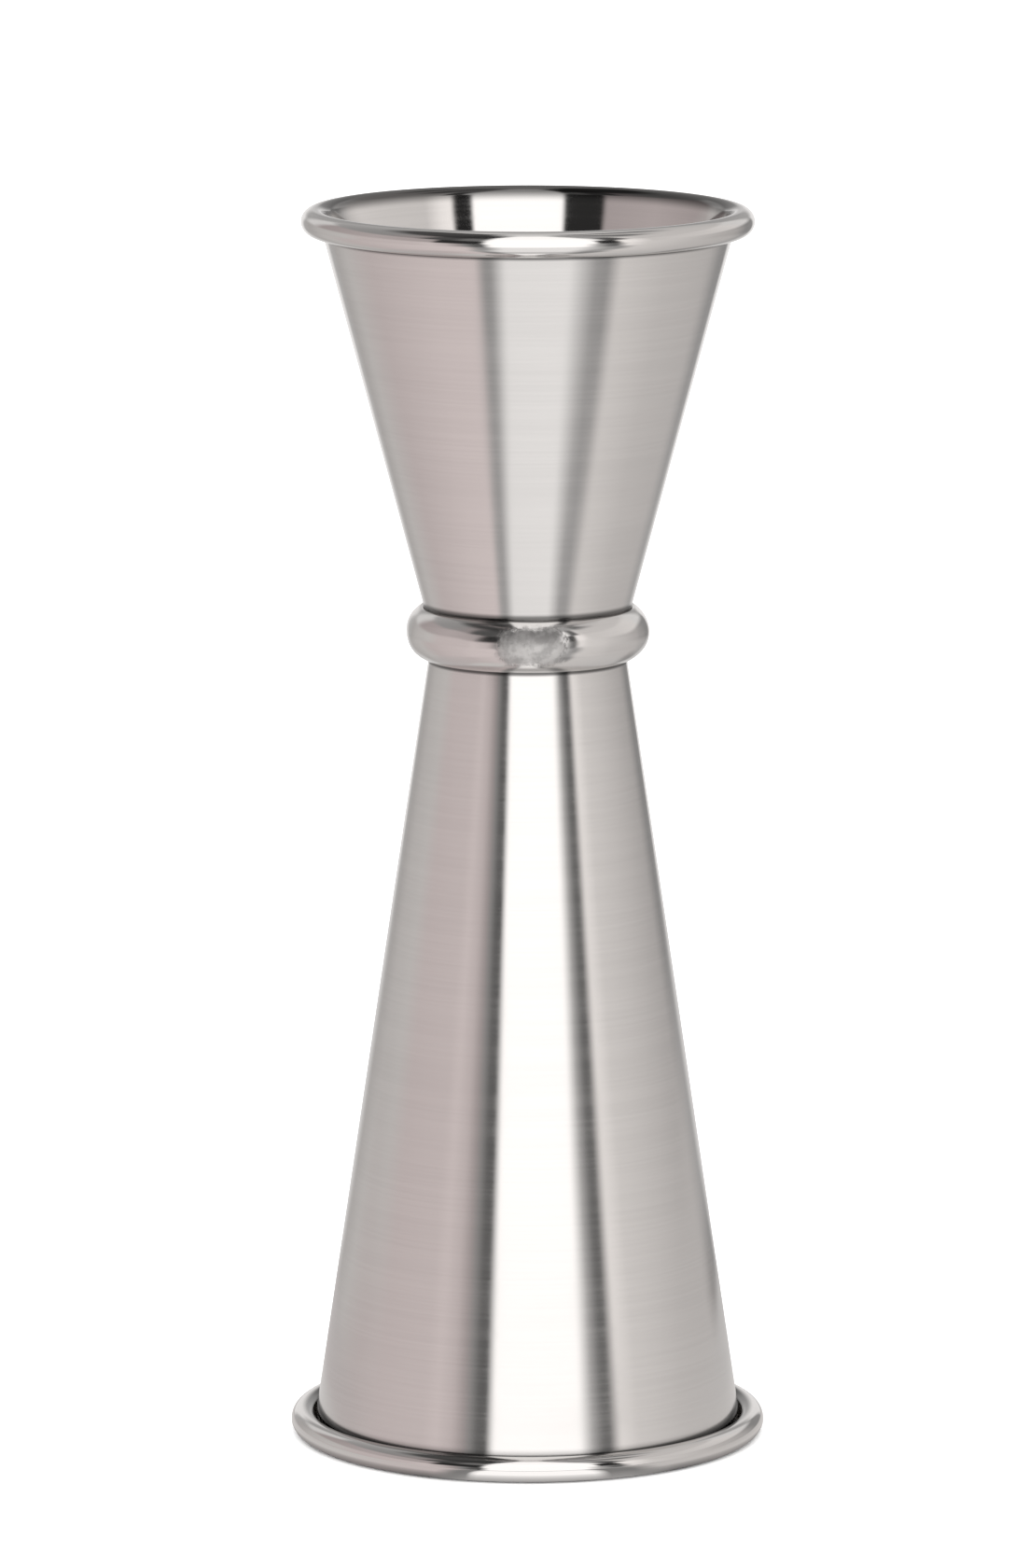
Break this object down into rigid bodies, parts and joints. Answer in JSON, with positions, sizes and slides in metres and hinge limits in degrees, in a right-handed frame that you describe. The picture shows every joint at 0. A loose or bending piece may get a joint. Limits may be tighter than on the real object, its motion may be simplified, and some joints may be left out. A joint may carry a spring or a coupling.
{
  "type": "bar jigger",
  "caption": "Double-ended bar measure: a small conical cup above a tall one, joined by a rounded waist ring.",
  "frame": {"origin": "centre of the foot, which is the large cup's mouth, on the surface that it stands on", "axes": "+Z along the common axis of both cups, from the large cup's mouth to the small cup's mouth"},
  "size_m": [0.0456, 0.0456, 0.1184],
  "materials": {
    "satin_steel": "stainless steel, fine satin outside and polished inside and on the rolled rims",
    "polished_steel": "stainless steel, polished",
    "weld_steel": "stainless steel, as welded"
  },
  "bodies": {
    "root": {"upper_cup": "satin_steel", "lower_cup": "satin_steel", "waist_ring": "polished_steel", "floor_spot_welds": "weld_steel"}
  },
  "joints": []
}
